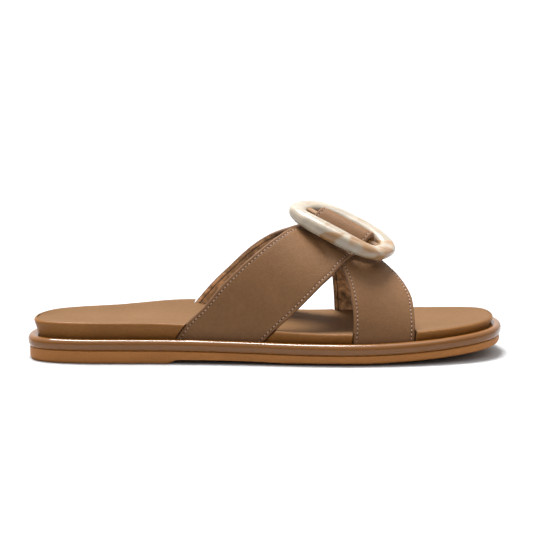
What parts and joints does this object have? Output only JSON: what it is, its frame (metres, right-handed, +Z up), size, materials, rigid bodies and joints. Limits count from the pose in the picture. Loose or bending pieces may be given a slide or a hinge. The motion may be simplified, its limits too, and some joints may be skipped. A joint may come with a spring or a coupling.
{
  "type": "slide sandal",
  "caption": "Flat slide sandal with crossed leather straps, a leather footbed, a rolled welt and an oval resin buckle where the straps cross.",
  "frame": {"origin": "on the floor, under the middle of the bounding box of the whole sandal", "axes": "+X towards the toe, +Y towards the inner side of the foot, +Z up from the floor"},
  "size_m": [0.262, 0.092, 0.0821],
  "materials": {
    "outsole_rubber": "matte moulded rubber in warm tan",
    "welt_leather": "glossy caramel leather wrapped over a cord",
    "footbed_leather": "smooth tan leather over foam, satin",
    "strap_leather": "smooth taupe leather with a brown lining, satin",
    "buckle_resin": "polished ivory resin with caramel marbling"
  },
  "bodies": {
    "root": {"outsole": "outsole_rubber", "welt": "welt_leather", "footbed": "footbed_leather", "upper": "strap_leather", "buckle": "buckle_resin"}
  },
  "joints": []
}
